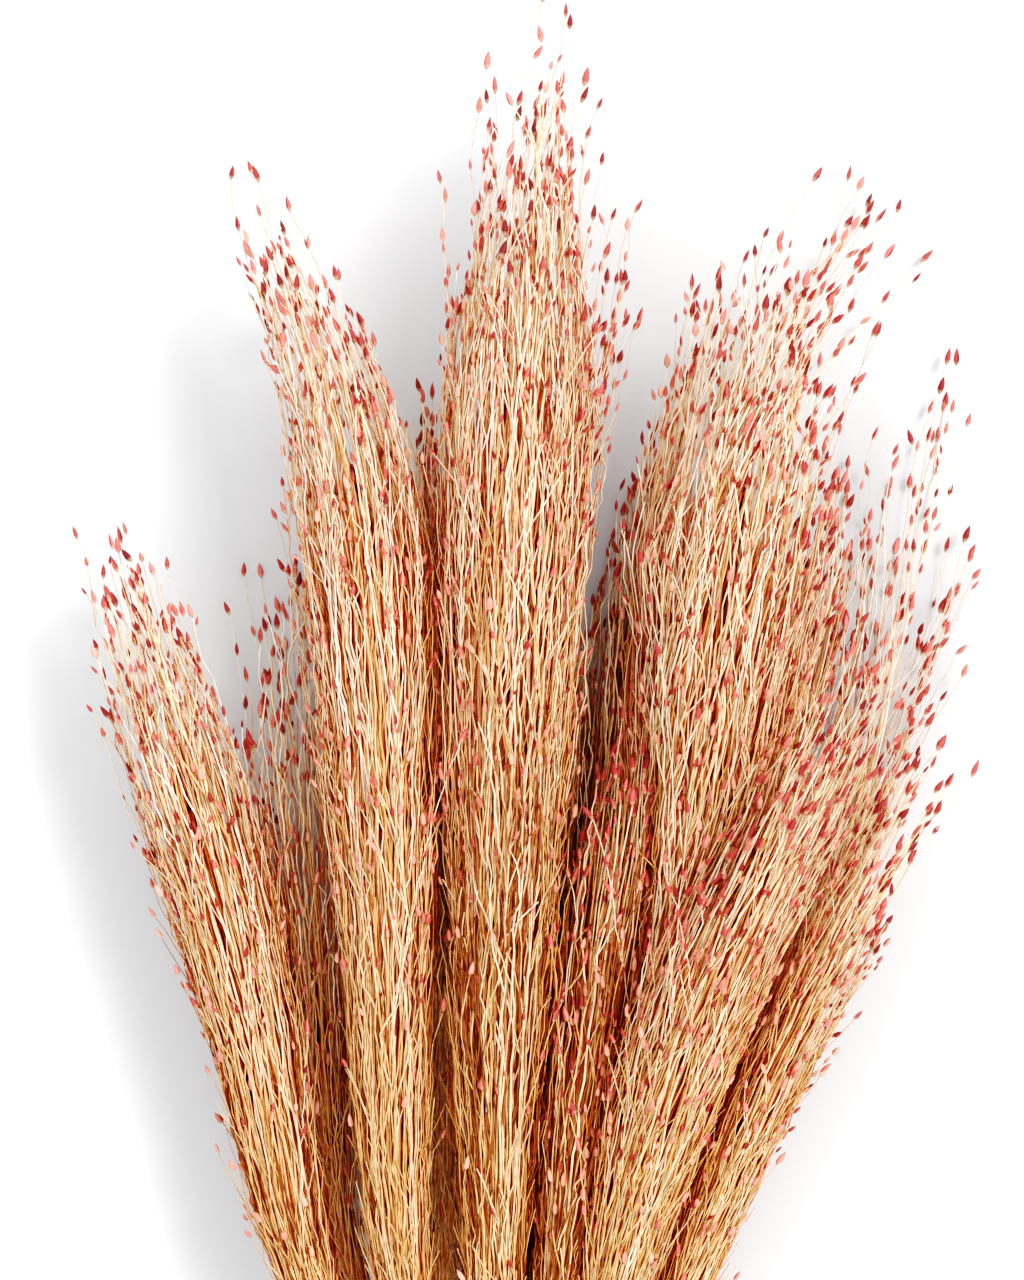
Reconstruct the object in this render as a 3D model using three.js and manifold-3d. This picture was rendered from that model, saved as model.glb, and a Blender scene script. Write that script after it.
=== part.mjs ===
// Dried panicum grass: a tied bunch of twelve cut stems, lying on its side.
// Every stem is one grown piece: a straw culm that ends in a dense brush of fine branches, each
// tipped with a pointed spikelet. A few turns of jute twine hold the stems together.
// Millimetres. +Y runs from the cut ends to the tips, +X is to the right seen from above, and
// +Z is up from the surface that the bunch lies on.

import * as THREE from 'three';
import Module from 'manifold-3d';

const wasm = await Module();
wasm.setup();

// Driving dimensions of the bunch.
const FOOT_Y = -300; // the cut ends
const FOOT_STAGGER = 9; // how much shorter the shortest stem is cut
const TIE_Y = -155; // the middle of the twine
const NECK_Y = -19; // where the heads lie side by side
const BASE_Y = -104; // the lowest branches of a panicle
const TIE_CENTRE = { x: -2, z: 14 };
const INNER_RING = 2.2; // three stems in the middle of the tied bundle
const OUTER_RING = 5.8; // nine stems around them
const FOOT_SPLAY = 2.1; // how far the stems open again below the twine
const TIE_GRIP = 5; // half the length over which the twine holds the stems parallel
const STEM_RADIUS = 1.7;
const NECK_STEM_RADIUS = 1.2;
const KNUCKLE_Y = -245; // the swollen node of the lowest culm
const KNUCKLE_STEP = 2.6; // and how much higher it sits on each next one
const KNUCKLE_RADIUS = 2.2;
const KNUCKLE_HALF = 2.6;

// Driving dimensions of a panicle.
const CORE_SIDES = 8;
const CORE_END = 0.9; // the packed middle of the brush ends here, as a share of the panicle
const LOW_SHARE = 0.92; // its radius as a share of the whole brush, low down
const HIGH_SHARE = 0.54; // and near its end
const RING_STEP = 27; // distance between the outlines that the packed middle is drawn through
const RIDGE = 0.16; // how far the ridges of packed branches stand out of the middle
const OPEN_SHARE = 0.93; // above this the brush stays open up to its last spikelets
const RIDGE_TWIST = 0.9; // turn of the ridges along the head, in radians
const STRAND_RADIUS = 0.42;
const SPIKELET_RADIUS = 1.1;
const SPIKELET_LENGTH = 4.8;
const CLEARANCE = 0.6; // between one stem's branches and its neighbours
const GOLDEN_ANGLE = Math.PI * (3 - Math.sqrt(5));
const LOWEST_SPIKELET = 0.28; // where the spikelets begin, as a share of the panicle
const HIGHEST_SPIKELET = 0.99;
const LOOSE_ABOVE = 0.85; // from here up the branches end anywhere across the brush
const BRANCH_SHARE = [0.2, 0.28]; // length of a branch, as a share of the panicle
const ROOT_DEPTH = 0.35; // how far out in the packed middle a branch is rooted
const TOP_OVERSHOOT = 6; // how far the last spikelets run past the rest

// Driving dimensions of the tie.
const TWINE_RADIUS = 0.95;
const TWINE_TURNS = 4;
const TWINE_PITCH = 1.75;
const TIE_SEGMENTS = 20;
const TIE_GAP = 0.3;

// Each head: its slot in the tied bundle, the line of its spine above the neck as [x, y, z],
// the largest radius of its brush, and how many branches it carries here.
// Slots 0 to 8 are the outer ring, from the right side up and over; 9 to 11 are the inner three.
const HEADS = [
  { slot: 4, girth: 17, strands: 40, spine: [[-52, -19, 25], [-67, 51, 24], [-88, 126, 25], [-104, 178, 26]] },
  { slot: 5, girth: 12, strands: 30, spine: [[-43, -19, 8], [-54, 81, 5], [-62, 172, 10]] },
  { slot: 3, girth: 18, strands: 48, spine: [[-28, -19, 29], [-33, 101, 34], [-41, 191, 35], [-62, 257, 35]] },
  { slot: 6, girth: 10.5, strands: 28, spine: [[-16, -19, 8], [-16, 81, 4.5], [-22, 216, 11]] },
  { slot: 2, girth: 22, strands: 56, spine: [[-4, -19, 31], [0, 101, 36], [6, 226, 37], [8, 298, 36]] },
  { slot: 11, girth: 12, strands: 32, spine: [[6, -19, 8], [21, 61, 5], [30, 206, 10]] },
  { slot: 9, girth: 26, strands: 58, spine: [[20, -19, 17], [35, 51, 21], [57, 176, 30], [77, 254, 33]] },
  { slot: 8, girth: 13, strands: 30, spine: [[49, -19, 8], [83, 81, 5], [112, 218, 13]] },
  { slot: 1, girth: 18, strands: 42, spine: [[26, -19, 36], [48, 56, 45], [88, 146, 52]] },
  { slot: 0, girth: 16, strands: 40, spine: [[44, -19, 27], [78, 61, 32], [111, 120, 32]] },
  { slot: 10, girth: 11, strands: 26, spine: [[12, -19, 32], [24, 70, 31], [34, 142, 34]] },
  { slot: 7, girth: 14.5, strands: 32, spine: [[34, -19, 8], [56, 81, 5.5], [86, 197, 13]] },
];

const random = THREE.MathUtils.seededRandom;
const between = (low, high) => low + (high - low) * random();

// A stem's place in the tied bundle, as an offset from the bundle's centre.
function slotOffset(slot) {
  const inner = slot >= 9;
  const angle = THREE.MathUtils.degToRad(inner ? (slot - 9) * 120 : 20 + slot * 40);
  const radius = inner ? INNER_RING : OUTER_RING;
  return { x: radius * Math.cos(angle), z: radius * Math.sin(angle) };
}

// The knots of a stem's whole centre line, from its cut end to the tip of its head. The second
// and third hold it straight where the twine grips it.
function centreLine(head, index) {
  const at = slotOffset(head.slot);
  const knot = (y, splay) => new THREE.Vector3(TIE_CENTRE.x + at.x * splay, y, TIE_CENTRE.z + at.z * splay);
  return [
    knot(FOOT_Y + (FOOT_STAGGER * ((index * 5) % 12)) / 11, FOOT_SPLAY),
    knot(TIE_Y - TIE_GRIP, 1),
    knot(TIE_Y + TIE_GRIP, 1),
    ...head.spine.map(([x, y, z]) => new THREE.Vector3(x, y, z)),
  ];
}

// Where a centre line passes through the height y: a cubic between the two knots around it,
// whose slope at each knot is that of the line through the knots on both sides.
function spineAt(knots, y) {
  const last = knots.length - 1;
  let k = 0;
  while (k < last - 1 && y > knots[k + 1].y) k += 1;
  const slope = (i, axis) => {
    if (i === 1 || i === 2) return 0;
    const a = knots[Math.max(i - 1, 0)];
    const b = knots[Math.min(i + 1, last)];
    return (b[axis] - a[axis]) / (b.y - a.y);
  };
  const [p, q] = [knots[k], knots[k + 1]];
  const run = q.y - p.y;
  const t = (y - p.y) / run;
  const cubic = (axis) => {
    const h1 = 2 * t ** 3 - 3 * t ** 2 + 1;
    const h2 = t ** 3 - 2 * t ** 2 + t;
    const h3 = t ** 3 - t ** 2;
    return h1 * p[axis] + h2 * run * slope(k, axis) + (1 - h1) * q[axis] + h3 * run * slope(k + 1, axis);
  };
  return new THREE.Vector3(cubic('x'), y, cubic('z'));
}

// The brush's radius as a share of its girth, u from 0 at its lowest branches to 1 at its tip:
// it widens slowly, is widest at three quarters of its length and closes quickly.
const brush = (u) => (u <= 0 || u >= 1 ? 0 : 1.26 * u ** 0.7 * (1 - u ** 8) ** 0.8);

const stems = HEADS.map((head, index) => {
  const knots = centreLine(head, index);
  const tipY = knots.at(-1).y;
  return { ...head, index, knots, footY: knots[0].y, tipY, share: (y) => (y - BASE_Y) / (tipY - BASE_Y) };
});

// The radius of the bare culm, which thins towards the neck.
const culmAt = (y) =>
  THREE.MathUtils.mapLinear(Math.min(y, NECK_Y), FOOT_Y, NECK_Y, STEM_RADIUS, NECK_STEM_RADIUS);

// The radius that a stem needs for itself at the height y.
const reachAt = (stem, y) => Math.max(culmAt(y), stem.girth * brush(Math.min(stem.share(y), OPEN_SHARE)));

// The radius of the packed middle of the stem at the height y, without its ridges.
function coreAt(stem, y) {
  const u = stem.share(y);
  if (u <= 0) return culmAt(y);
  const closing = Math.max(1 - (u / CORE_END) ** 7, 0) ** 0.8;
  const packed = THREE.MathUtils.lerp(LOW_SHARE, HIGH_SHARE, u) * brush(u) * closing;
  return Math.max(culmAt(y) * (1 - u), stem.girth * packed);
}

// Draws a point of one stem in towards its centre line until it is clear of the surface below and
// of the other stems: each pair of stems shares the room between them by their radii.
function pressedBack(point, owner, own) {
  const home = spineAt(owner.knots, point.y);
  const out = point.clone().sub(home);
  const mine = reachAt(owner, point.y);
  let share = point.z < own ? (home.z - own) / (home.z - point.z) : 1;
  for (const other of stems) {
    if (other === owner || point.y > other.tipY) continue;
    const away = spineAt(other.knots, point.y).sub(home);
    const apart = away.length();
    const border = (apart * mine) / (mine + reachAt(other, point.y)) - own - CLEARANCE / 2;
    const along = out.dot(away) / apart;
    if (along * share > border) share = border / along;
  }
  return home.addScaledVector(out, share);
}

// True if a point with its own thickness lies in the room of its stem.
const hasRoom = (point, owner, own) => pressedBack(point, owner, own).distanceTo(point) < CLEARANCE / 4;

const closedSolid = (vertices, faces) =>
  new wasm.Manifold(
    new wasm.Mesh({
      numProp: 3,
      vertProperties: Float32Array.from(vertices.flatMap((v) => v.toArray())),
      triVerts: Uint32Array.from(faces),
    }),
  );

// A closed tube of rings: each ring is a list of points, the first is capped and the last one
// may be a single point. The rings turn clockwise seen from the first one.
function tubeSolid(rings) {
  const sides = rings[0].length;
  const faces = [];
  for (let k = 1; k < sides - 1; k += 1) faces.push(0, k + 1, k);
  for (let r = 0; r < rings.length - 1; r += 1) {
    const low = r * sides;
    const high = low + sides;
    for (let k = 0; k < sides; k += 1) {
      const next = (k + 1) % sides;
      if (rings[r + 1].length === 1) {
        faces.push(low + k, low + next, high);
      } else {
        faces.push(low + k, low + next, high + k, low + next, high + next, high + k);
      }
    }
  }
  if (rings.at(-1).length > 1) {
    const end = (rings.length - 1) * sides;
    for (let k = 1; k < sides - 1; k += 1) faces.push(end, end + k, end + k + 1);
  }
  return closedSolid(rings.flat(), faces);
}

// The culm and the packed middle of its panicle: one ridged tube along the centre line,
// pressed flat where it lies on the surface.
function coreSolid(stem) {
  const { footY, tipY } = stem;
  const knuckleY = KNUCKLE_Y + KNUCKLE_STEP * ((stem.index * 7) % 12);
  const culmHeights = [
    footY,
    knuckleY - KNUCKLE_HALF,
    knuckleY,
    knuckleY + KNUCKLE_HALF,
    (knuckleY + TIE_Y) / 2,
    TIE_Y - TIE_GRIP,
    TIE_Y + TIE_GRIP,
    TIE_Y + TIE_GRIP * 5,
    (TIE_Y + BASE_Y) / 2 + TIE_GRIP,
  ];
  const endY = BASE_Y + CORE_END * (tipY - BASE_Y);
  const steps = Math.floor((endY - BASE_Y) / RING_STEP);
  const headHeights = Array.from({ length: steps }, (_, k) => BASE_Y + k * RING_STEP);
  const heights = [...culmHeights, ...headHeights, (headHeights.at(-1) + endY * 2) / 3];
  const rings = heights.map((y) => {
    const centre = spineAt(stem.knots, y);
    const u = Math.max(stem.share(y), 0);
    const radius = y === knuckleY ? KNUCKLE_RADIUS : coreAt(stem, y);
    const ridge = RIDGE * Math.min(1, u * 4);
    return Array.from({ length: CORE_SIDES }, (_, k) => {
      const angle = (-2 * Math.PI * k) / CORE_SIDES + RIDGE_TWIST * u;
      const r = radius * (1 + (k % 2 ? ridge : -ridge));
      const point = centre.clone().add(new THREE.Vector3(r * Math.cos(angle), 0, r * Math.sin(angle)));
      return pressedBack(point, stem, 0);
    });
  });
  rings.push([pressedBack(spineAt(stem.knots, endY), stem, 0)]);
  return tubeSolid(rings);
}

// The centre points of one branch: from inside the core, up and out to the neck of its
// spikelet, and on to the spikelet's belly and tip.
function strandLine(stem, order) {
  const rank = (order + 0.5) / stem.strands;
  const u = THREE.MathUtils.lerp(LOWEST_SPIKELET, HIGHEST_SPIKELET, rank ** 0.8);
  const tipY = BASE_Y + u * (stem.tipY - BASE_Y);
  const length = between(...BRANCH_SHARE) * (stem.tipY - BASE_Y);
  const angle = order * GOLDEN_ANGLE + between(-0.12, 0.12);
  const loose = u > LOOSE_ABOVE ? between(0.25, 1.15) : between(0.9, 1.08);
  const reach = stem.girth * brush(Math.min(u, OPEN_SHARE)) * loose;
  const radial = new THREE.Vector3(Math.cos(angle), 0, Math.sin(angle));
  const rootY = tipY - length;
  const root = spineAt(stem.knots, rootY).addScaledVector(radial, coreAt(stem, rootY) * ROOT_DEPTH);
  const overshoot = u > OPEN_SHARE ? between(0, TOP_OVERSHOOT) : 0;
  const end = spineAt(stem.knots, Math.min(tipY + overshoot, stem.tipY)).addScaledVector(radial, reach);
  const tip = pressedBack(end, stem, SPIKELET_RADIUS);
  const along = tip.clone().sub(root).normalize();
  const neck = tip.clone().addScaledVector(along, -SPIKELET_LENGTH);
  const belly = tip.clone().addScaledVector(along, -SPIKELET_LENGTH * 0.55);
  return { root, neck, belly, tip, along, radial };
}

// A three-sided branch with its spikelet, closed at its root inside the core.
function strandSolid({ root, neck, belly, tip, along, radial }) {
  const outward = radial.clone().addScaledVector(along, -radial.dot(along)).normalize();
  const across = along.clone().cross(outward);
  const ring = (centre, radius) =>
    [0, 1, 2].map((k) => {
      const angle = (2 * Math.PI * k) / 3;
      return centre
        .clone()
        .addScaledVector(outward, radius * Math.cos(angle))
        .addScaledVector(across, radius * Math.sin(angle));
    });
  return tubeSolid([ring(root, STRAND_RADIUS), ring(neck, STRAND_RADIUS * 0.8), ring(belly, SPIKELET_RADIUS), [tip]]);
}

// True if a branch keeps to the room of its stem along its whole length.
function isClear({ root, neck, belly, tip }, owner) {
  const inner = [0.2, 0.35, 0.5, 0.65, 0.8].map((t) => root.clone().lerp(neck, t));
  return [...inner, neck].every((p) => hasRoom(p, owner, STRAND_RADIUS))
    && [belly, tip].every((p) => hasRoom(p, owner, SPIKELET_RADIUS));
}

const strands = [];
for (const stem of stems) {
  random(1000 + stem.index);
  for (let order = 0; order < stem.strands; order += 1) {
    const strand = { ...strandLine(stem, order), owner: stem };
    if (isClear(strand, stem)) strands.push(strand);
  }
}

function geometryOf(solid) {
  const { vertProperties, triVerts } = solid.getMesh();
  const geometry = new THREE.BufferGeometry();
  geometry.setAttribute('position', new THREE.BufferAttribute(vertProperties, 3));
  geometry.setIndex(new THREE.BufferAttribute(triVerts, 1));
  geometry.computeVertexNormals();
  return geometry;
}

// A stem with its panicle: the ridged core with every branch joined to it. Small hollows that
// close up between crossing branches are filled: only the outer surface is kept.
function panicleGeometry(stem) {
  let solid = coreSolid(stem);
  for (const strand of strands.filter((s) => s.owner === stem)) solid = solid.add(strandSolid(strand));
  const shells = solid.decompose().sort((a, b) => b.volume() - a.volume());
  return geometryOf(shells[0]);
}

// The tie: a ring of closely wound turns around the stems, with a flat knot on top.
function tieGeometry() {
  const inside = OUTER_RING + STEM_RADIUS + TIE_GAP;
  const half = (TWINE_TURNS * TWINE_PITCH) / 2;
  const profile = [new THREE.Vector2(inside, -half), new THREE.Vector2(inside, half)];
  for (let turn = TWINE_TURNS - 1; turn >= 0; turn -= 1) {
    const middle = -half + (turn + 0.5) * TWINE_PITCH;
    profile.push(new THREE.Vector2(inside + TWINE_RADIUS * 1.9, middle + TWINE_PITCH * 0.28));
    profile.push(new THREE.Vector2(inside + TWINE_RADIUS * 1.9, middle - TWINE_PITCH * 0.28));
    if (turn) profile.push(new THREE.Vector2(inside + TWINE_RADIUS * 1.3, middle - TWINE_PITCH * 0.5));
  }
  const rings = Array.from({ length: TIE_SEGMENTS }, (_, k) => {
    const angle = (-2 * Math.PI * k) / TIE_SEGMENTS;
    return profile.map(({ x, y }) => new THREE.Vector3(x * Math.cos(angle), y, x * Math.sin(angle)));
  });
  const sides = profile.length;
  const faces = [];
  for (let k = 0; k < TIE_SEGMENTS; k += 1) {
    const [low, high] = [k * sides, ((k + 1) % TIE_SEGMENTS) * sides];
    for (let s = 0; s < sides; s += 1) {
      const next = (s + 1) % sides;
      faces.push(low + s, low + next, high + s, low + next, high + next, high + s);
    }
  }
  const ring = closedSolid(rings.flat(), faces);
  const knotAt = new THREE.Vector3(0, 0, inside + TWINE_RADIUS * 2.2);
  const lump = (from, to, radii) => {
    const along = to.clone().sub(from);
    const across = new THREE.Vector3(0, 0, 1).cross(along).normalize();
    const up = along.clone().normalize().cross(across);
    return tubeSolid(
      radii.map(([share, radius]) =>
        Array.from({ length: 6 }, (_, k) =>
          from
            .clone()
            .addScaledVector(along, share)
            .addScaledVector(across, radius * Math.cos((Math.PI * k) / 3))
            .addScaledVector(up, radius * Math.sin((Math.PI * k) / 3)))),
    );
  };
  const at = (x, y, z) => knotAt.clone().add(new THREE.Vector3(x, y, z));
  const loop = lump(at(-2.2, -1.6, 0), at(2.2, 1.6, 0), [[0, 0.8], [0.25, 1.5], [0.75, 1.5], [1, 0.8]]);
  const tails = [
    lump(at(-1, 0.5, 0.2), at(-6.5, 7, -1.2), [[0, 0.9], [0.6, 0.9], [1, 1]]),
    lump(at(1, 0.5, 0.2), at(5.5, 8.5, -0.6), [[0, 0.9], [0.6, 0.9], [1, 1]]),
  ];
  return geometryOf(tails.reduce((solid, tail) => solid.add(tail), ring.add(loop)));
}

const straw = new THREE.MeshStandardMaterial({ color: 0xd7ae76, roughness: 0.8, metalness: 0, flatShading: true });
const jute = new THREE.MeshStandardMaterial({ color: 0xb0894f, roughness: 0.95, metalness: 0, flatShading: true });

const bunch = new THREE.Group();
for (const stem of stems) {
  const mesh = new THREE.Mesh(panicleGeometry(stem), straw);
  mesh.name = `panicle_${String(stem.index + 1).padStart(2, '0')}`;
  bunch.add(mesh);
}
const tie = new THREE.Mesh(tieGeometry(), jute);
tie.name = 'twine_tie';
tie.position.set(TIE_CENTRE.x, TIE_Y, TIE_CENTRE.z);
bunch.add(tie);

// The part's origin is under the middle of the bunch, on the surface that it lies on.
bunch.updateMatrixWorld(true);
const box = new THREE.Box3().setFromObject(bunch);
const middle = box.getCenter(new THREE.Vector3());
bunch.position.set(-middle.x, -middle.y, -box.min.z);

export default bunch;
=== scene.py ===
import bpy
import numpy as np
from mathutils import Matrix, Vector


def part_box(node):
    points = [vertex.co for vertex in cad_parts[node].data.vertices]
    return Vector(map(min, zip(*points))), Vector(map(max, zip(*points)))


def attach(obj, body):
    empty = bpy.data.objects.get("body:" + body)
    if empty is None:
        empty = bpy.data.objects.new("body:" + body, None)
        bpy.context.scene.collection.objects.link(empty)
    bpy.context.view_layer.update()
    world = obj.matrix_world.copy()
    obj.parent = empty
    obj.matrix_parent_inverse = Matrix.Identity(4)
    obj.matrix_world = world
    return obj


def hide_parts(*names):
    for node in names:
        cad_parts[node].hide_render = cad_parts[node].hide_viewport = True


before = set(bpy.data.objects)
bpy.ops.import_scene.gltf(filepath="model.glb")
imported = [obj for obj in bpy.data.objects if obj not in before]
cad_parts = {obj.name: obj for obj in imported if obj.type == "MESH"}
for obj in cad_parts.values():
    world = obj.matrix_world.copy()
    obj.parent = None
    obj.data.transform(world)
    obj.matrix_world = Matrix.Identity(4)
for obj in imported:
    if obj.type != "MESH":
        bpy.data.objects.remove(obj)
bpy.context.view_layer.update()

# %% [markdown]
# # A tied bunch of dried panicum grass
#
# Panicum is a grass whose flower head is a long brush: hundreds of fine branches leave one
# straw stem, run close beside each other and end in small pointed spikelets that dry to a
# rose red. Twelve such stems are laid flat and fanned out, and jute twine holds them together.
# Each head is built here from thousands of short tubes. Blender's hair would be quicker to
# comb, but hair can't be exported as a mesh, so numpy works out whole arrays of points instead.

SCENE = bpy.context.scene
MM = 0.001
ROOT = "root"

# %% [markdown]
# ## The measurements that the solids were drawn from
#
# All of them are in millimetres, with Y running up the bunch. A photograph taken square on
# gives a place along and across the bunch, and the layers give its height above the table:
# five heads lie on the table, three lean on them, and four lie on top.

# %% Driving dimensions of the bunch
FOOT_Y = -300.0
FOOT_STAGGER = 9.0
TIE_Y = -155.0
TIE_X, TIE_Z = -2.0, 14.0
TIE_HALF_WIDTH = 3.5
TIE_GRIP = 5.0
NECK_Y = -19.0
BASE_Y = -104.0
INNER_RING, OUTER_RING = 2.2, 5.8
OUTER_SLOTS = 9
FOOT_SPLAY = 2.1
STEM_RADIUS, NECK_STEM_RADIUS = 1.7, 1.2
KNUCKLE_Y, KNUCKLE_STEP = -245.0, 2.6

# Each head is written as: slot in the tied bundle, girth of the brush, crown, look, spine.
# Crown: radius of the open top as a share of the girth, place of the peak from -1 (left) to
# 1 (right), how far the crown drops to its left and right edge, and how far it thins out below.
# Look: how full the brush is, seeds beside each branch, painted shade at its foot and at its
# crown, which darkens straw and spikelets, number of loose wisps, and how far these lean
# outwards and to the right.
HEADS = [
    (4, 15.5, (0.76, 0.25, 16, 26, 9), (1.0, 1.1, (0.15, 0.05), 9, (1, 0)),
     [(-52, -19, 25), (-67, 51, 24), (-88, 126, 25), (-104, 178, 26)]),
    (5, 14.2, (0.8, 0.4, 24, 22, 6), (0.45, 2.6, (0.0, 0.0), 7, (1, 0)),
     [(-43, -19, 8), (-54, 81, 5), (-62, 172, 10)]),
    (3, 17.3, (0.72, -0.25, 24, 23, 7), (1.0, 1.1, (0.1, 0.0), 9, (1, 1)),
     [(-27.5, -19, 29), (-32.5, 101, 34), (-41, 191, 35), (-62, 257, 35)]),
    (6, 13.0, (0.5, -0.1, 38, 46, 8), (1.8, 1.0, (0.0, 0.0), 4, (2, 0)),
     [(-16, -19, 8), (-16, 81, 4.5), (-22, 216, 11)]),
    (2, 20.6, (0.44, 0.1, 22, 22, 25), (1.25, 0.9, (0.42, 0.0), 20, (7, 1)),
     [(-4, -19, 31), (-1.5, 101, 36), (2.5, 226, 37), (8, 298, 36)]),
    (11, 13.0, (0.5, 0.2, 40, 26, 6), (1.0, 1.3, (0.3, 0.2), 6, (2, 2)),
     [(6, -19, 8), (21, 61, 5), (34, 206, 10)]),
    (9, 25.6, (1.08, -0.2, 25, 52, 10), (1.1, 1.3, (0.2, 0.0), 12, (3, 5)),
     [(20, -19, 17), (35, 51, 21), (57, 176, 30), (77, 254, 33)]),
    (8, 10.8, (1.4, -0.3, 14, 42, 54), (0.42, 2.0, (0.0, 0.0), 5, (2, 2)),
     [(49, -19, 8), (83, 81, 5), (112, 218, 13)]),
    (1, 17.5, (0.9, 0.2, 44, 36, 12), (1.1, 1.9, (0.0, 0.0), 10, (2, 3)),
     [(26, -19, 36), (48, 56, 45), (88, 146, 52)]),
    (0, 12.0, (1.3, -0.1, 2, 38, 3), (0.95, 1.9, (0.0, 0.0), 9, (0, 0)),
     [(44, -19, 27), (78, 61, 32), (111, 120, 32)]),
    (10, 12.0, (0.7, 0.0, 35, 35, 14), (1.0, 1.6, (0.4, 0.2), 4, (2, 2)),
     [(12, -19, 32), (24, 70, 31), (34, 142, 34)]),
    (7, 14.8, (0.85, 0.1, 32, 32, 6), (0.8, 1.6, (0.1, 0.0), 7, (2, 2)),
     [(34, -19, 8), (56, 81, 5.5), (86, 197, 13)]),
]

# %% [markdown]
# ## Where a stem runs
#
# A stem's centre line passes through a few knots. Between two knots each coordinate is a cubic
# curve. Its slope at a knot is that of the chord through the two neighbours, and zero where the
# twine holds the stems parallel.

# %% Centre lines of the stems
def centre_knots(index, slot, spine):
    """Knots of one stem: its foot, two at the twine, then the given spine. In the tied bundle
    slots 0 to 8 lie 40 degrees apart on the outer ring and 9 to 11 lie 120 degrees apart on the
    inner one. The feet are cut unevenly, in twelve steps of the stagger."""
    inner = slot >= OUTER_SLOTS
    angle = np.radians((slot - OUTER_SLOTS) * 120 if inner else 20 + slot * 40)
    ring = INNER_RING if inner else OUTER_RING
    dx, dz = ring * np.cos(angle), ring * np.sin(angle)
    foot_y = FOOT_Y + FOOT_STAGGER * ((index * 5) % 12) / 11
    foot = (TIE_X + dx * FOOT_SPLAY, foot_y, TIE_Z + dz * FOOT_SPLAY)
    grips = [(TIE_X + dx, TIE_Y + s * TIE_GRIP, TIE_Z + dz) for s in (-1, 1)]
    return np.array([foot, *grips, *spine], float)


STEMS = []
for index, (slot, girth, crown, look, spine) in enumerate(HEADS):
    knots = centre_knots(index, slot, spine)
    chord = np.gradient(knots, axis=0)
    chord[1:-1] = knots[2:] - knots[:-2]
    slopes = chord / chord[:, 1:2]
    slopes[1:3, [0, 2]] = 0
    stem = {"index": index, "girth": girth, "knots": knots, "slopes": slopes}
    stem["foot_y"], stem["tip_y"] = knots[0, 1], knots[-1, 1]
    stem["open"], stem["peak"], stem["left_drop"], stem["right_drop"], stem["thins"] = crown
    stem["full"], stem["seeds"], stem["shade"], stem["wisps"], stem["lean"] = look
    STEMS.append(stem)
print("heads end at, mm:", [float(stem["tip_y"]) for stem in STEMS])


def centre_line(stem, y):
    """Point of the centre line at each height y: p·h1 + run·slope_p·h2 + q·(1-h1) + run·slope_q·h3,
    with the weights h1 = 2t³-3t²+1, h2 = t³-2t²+t and h3 = t³-t²."""
    knots, slopes = stem["knots"], stem["slopes"]
    k = np.searchsorted(knots[1:-1, 1], y)
    p, q = knots[k], knots[k + 1]
    run = (q - p)[..., 1:2]
    t = (np.asarray(y)[..., None] - p[..., 1:2]) / run
    h1, h2, h3 = 2 * t**3 - 3 * t**2 + 1, t**3 - 2 * t**2 + t, t**3 - t**2
    point = p * h1 + slopes[k] * (run * h2) + q * (1 - h1) + slopes[k + 1] * (run * h3)
    point[..., 1] = y
    return point


def smooth_step(low, high, x):
    """0 below low, 1 above high and 3t²-2t³ between them."""
    t = np.clip((x - low) / (high - low), 0, 1)
    return t * t * (3 - 2 * t)


def along_head(stem, y):
    """Share of the panicle: 0 at its lowest branches and 1 at its tip."""
    return (y - BASE_Y) / (stem["tip_y"] - BASE_Y)


def height_at(stem, share):
    """The height at a share of the panicle."""
    return BASE_Y + share * (stem["tip_y"] - BASE_Y)


def shade_at(stem, y):
    """Painted shade of the straw, blended from the head's foot to its crown."""
    low, high = stem["shade"]
    return low + (high - low) * smooth_step(0.3, 0.65, along_head(stem, y))


# %% [markdown]
# ## How much room a head has
#
# The brush of a head is thin where it begins, widest at three quarters of its length, and open
# at its top. Where two heads lie side by side they flatten against each other. That is worked
# out here with a border between each pair of centre lines, which splits the distance by their
# radii, and with the table below. Low down the heads keep a narrow gap to the border, and high up
# their outermost branches reach past it and mingle with those of the neighbour.

# %% Radius of a brush and the borders between heads
GAP_LOW, MINGLE_HIGH = 0.6, 1.4
MINGLE_FROM, MINGLE_TO = 0.3, 0.8
LEAST_ROOM = 0.5
LEAST_DOWN, LEAST_TOWARD = 0.01, 0.02
# Heights against the other stem's tip: its radius shrinks from the first to the second, and the
# border fades out up to the third.
SHRINK_FROM, SHRINK_TO, BORDER_END = -70.0, 10.0, 30.0


def culm_radius(y):
    """The bare stem thins evenly from its foot to the neck."""
    return np.interp(y, [FOOT_Y, NECK_Y], [STEM_RADIUS, NECK_STEM_RADIUS])


def brush_radius(stem, y):
    """Girth times 1.26·u^0.7·(1-u⁸)^0.8, with a foot slimmer by an eighth, which blends into the
    open top above three quarters."""
    u = np.clip(along_head(stem, y), 0, 1)
    slim_foot = 0.87 + 0.13 * smooth_step(0.2, 0.6, u)
    share = 1.26 * u**0.7 * (1 - np.minimum(u, 0.93) ** 8) ** 0.8 * slim_foot
    share = share + (stem["open"] - share) * smooth_step(0.72, 1.0, u)
    return np.maximum(culm_radius(y), stem["girth"] * share)


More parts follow.
